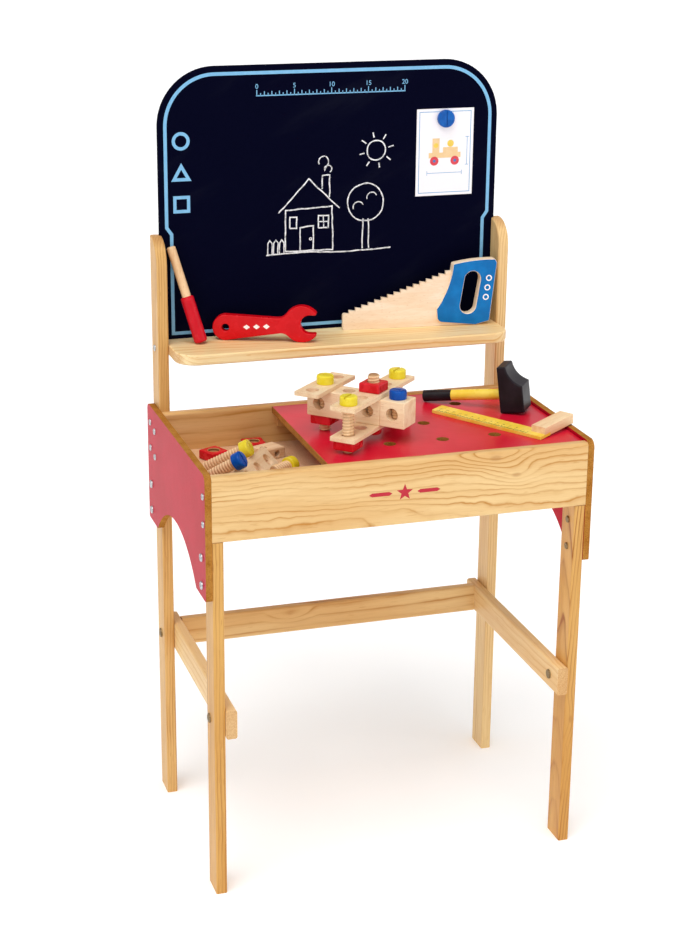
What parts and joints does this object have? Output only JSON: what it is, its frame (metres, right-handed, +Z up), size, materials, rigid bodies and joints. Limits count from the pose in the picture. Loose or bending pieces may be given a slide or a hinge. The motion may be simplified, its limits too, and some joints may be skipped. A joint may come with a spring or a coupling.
{
  "type": "toy workbench",
  "caption": "Child's wooden workbench with a red pegged worktop, a tray, a tool shelf and an upright chalkboard, set out with toy tools and a construction kit.",
  "frame": {"origin": "on the floor under the middle of the bench", "axes": "+Z up, +Y from the front board to the chalkboard, +X to the right seen from the front"},
  "size_m": [0.5048, 0.324, 0.995],
  "materials": {
    "pine": "clear satin varnish over pale pine",
    "red_board": "glossy red facing with a bare fibreboard edge",
    "fibreboard": "plain fibreboard",
    "chalk_black": "matt black chalkboard paint with a light blue line",
    "steel": "zinc plated",
    "beech": "bare sanded beech",
    "red_paint": "gloss red paint on wood",
    "blue_paint": "gloss blue paint on wood",
    "yellow_paint": "gloss yellow paint on wood",
    "black_paint": "satin black paint on wood",
    "card": "coated white card",
    "blue_plastic": "moulded"
  },
  "bodies": {
    "bench": {"left_front_leg": "pine", "right_front_leg": "pine", "left_rear_post": "pine", "right_rear_post": "pine", "left_side_panel": "red_board", "right_side_panel": "red_board", "front_board": "pine", "rear_board": "pine", "front_cleat": "pine", "rear_cleat": "pine", "worktop": "red_board", "tray_floor": "fibreboard", "left_side_rail": "pine", "right_side_rail": "pine", "cross_rail": "pine", "tool_shelf": "pine", "panel_screws": "steel", "panel_bolts": "steel", "panel_nuts": "steel", "rail_bolts": "steel", "rail_nuts": "steel", "barrel_nuts": "steel", "shelf_screws": "steel", "shelf_dowels": "beech", "cleat_screws": "steel"},
    "board": {"chalkboard": "chalk_black"},
    "card": {"plan_card": "card"},
    "card_magnet": {"magnet": "blue_plastic"},
    "screwdriver": {"screwdriver_shaft": "beech", "screwdriver_handle": "red_paint"},
    "spanner": {"wrench": "red_paint"},
    "saw": {"saw_blade": "beech", "saw_front_cheek": "blue_paint", "saw_rear_cheek": "blue_paint"},
    "hammer": {"hammer_head": "black_paint", "hammer_handle": "yellow_paint", "hammer_grip": "black_paint"},
    "set_square": {"square_blade": "yellow_paint", "square_stock": "beech"},
    "plane": {"plane_fuselage": "beech", "plane_nose_block": "beech", "plane_nose_dowel": "beech", "plane_upper_wing": "beech", "plane_lower_wing": "beech", "plane_bolts": "beech", "plane_middle_bolt": "beech"},
    "tail": {"plane_tail": "beech"},
    "nose_bolt": {"plane_nose_bolt": "beech"},
    "front_nut": {"plane_front_nut": "red_paint"},
    "rear_nut": {"plane_rear_nut": "red_paint"},
    "tail_nut": {"plane_tail_nut": "red_paint"},
    "top_nut": {"plane_top_nut": "red_paint"},
    "spare_nut_left": {"loose_nut_left": "red_paint"},
    "spare_nut_rear": {"loose_nut_rear": "red_paint"},
    "spare_left_bolt": {"loose_left_bolt": "beech"},
    "spare_blue_bolt": {"loose_blue_bolt": "beech"},
    "spare_block": {"loose_block": "beech"},
    "spare_strip": {"loose_strip": "beech"},
    "spare_yellow_bolt": {"loose_yellow_bolt": "beech"}
  },
  "joints": [
    {"name": "chalkboard_lift", "type": "slide", "parent": "bench", "child": "board", "axis": [0, 0, 1], "range_m": [0, 0.138]},
    {"name": "card_pull", "type": "slide", "parent": "board", "child": "card", "axis": [0, -1, 0], "range_m": [0, 0.03]},
    {"name": "magnet_pull", "type": "slide", "parent": "card", "child": "card_magnet", "axis": [0, -1, 0], "range_m": [0, 0.05]},
    {"name": "screwdriver_lift", "type": "slide", "parent": "bench", "child": "screwdriver", "axis": [0, 0, 1], "range_m": [0, 0.1]},
    {"name": "wrench_lift", "type": "slide", "parent": "bench", "child": "spanner", "axis": [0, 0, 1], "range_m": [0, 0.1]},
    {"name": "saw_lift", "type": "slide", "parent": "bench", "child": "saw", "axis": [0, 0, 1], "range_m": [0, 0.08]},
    {"name": "hammer_lift", "type": "slide", "parent": "bench", "child": "hammer", "axis": [0, 0, 1], "range_m": [0, 0.05]},
    {"name": "square_lift", "type": "slide", "parent": "bench", "child": "set_square", "axis": [0, 0, 1], "range_m": [0, 0.15]},
    {"name": "plane_lift", "type": "slide", "parent": "bench", "child": "plane", "axis": [0, 0, 1], "range_m": [0, 0.15]},
    {"name": "tail_turn", "type": "hinge", "parent": "plane", "child": "tail", "pos_m": [-0.05608, -0.00942, 0.6135], "axis": [0, 0, 1], "range_deg": [-40, 40]},
    {"name": "nose_bolt_turn", "type": "hinge", "parent": "plane", "child": "nose_bolt", "pos_m": [0.01604, -0.08154, 0.6155], "axis": [0, 0, 1], "continuous": true},
    {"name": "front_nut_turn", "type": "hinge", "parent": "plane", "child": "front_nut", "pos_m": [-0.05608, -0.10558, 0.566], "axis": [0, 0, 1], "continuous": true},
    {"name": "rear_nut_turn", "type": "hinge", "parent": "plane", "child": "rear_nut", "pos_m": [0.04008, -0.00942, 0.566], "axis": [0, 0, 1], "continuous": true},
    {"name": "tail_nut_turn", "type": "hinge", "parent": "plane", "child": "tail_nut", "pos_m": [-0.05608, -0.00942, 0.571], "axis": [0, 0, 1], "continuous": true},
    {"name": "top_nut_turn", "type": "hinge", "parent": "plane", "child": "top_nut", "pos_m": [-0.008, -0.0575, 0.622], "axis": [0, 0, 1], "continuous": true},
    {"name": "loose_nut_left_lift", "type": "slide", "parent": "bench", "child": "spare_nut_left", "axis": [0, 0, 1], "range_m": [0, 0.1]},
    {"name": "loose_nut_rear_lift", "type": "slide", "parent": "bench", "child": "spare_nut_rear", "axis": [0, 0, 1], "range_m": [0, 0.1]},
    {"name": "loose_block_lift", "type": "slide", "parent": "bench", "child": "spare_block", "axis": [0, 0, 1], "range_m": [0, 0.1]},
    {"name": "loose_strip_lift", "type": "slide", "parent": "bench", "child": "spare_strip", "axis": [0, 0, 1], "range_m": [0, 0.1]},
    {"name": "loose_left_bolt_lift", "type": "slide", "parent": "spare_strip", "child": "spare_left_bolt", "axis": [0, 0, 1], "range_m": [0, 0.08]},
    {"name": "loose_blue_bolt_lift", "type": "slide", "parent": "spare_strip", "child": "spare_blue_bolt", "axis": [0, 0, 1], "range_m": [0, 0.08]},
    {"name": "loose_yellow_bolt_lift", "type": "slide", "parent": "bench", "child": "spare_yellow_bolt", "axis": [0, 0, 1], "range_m": [0, 0.06]}
  ]
}
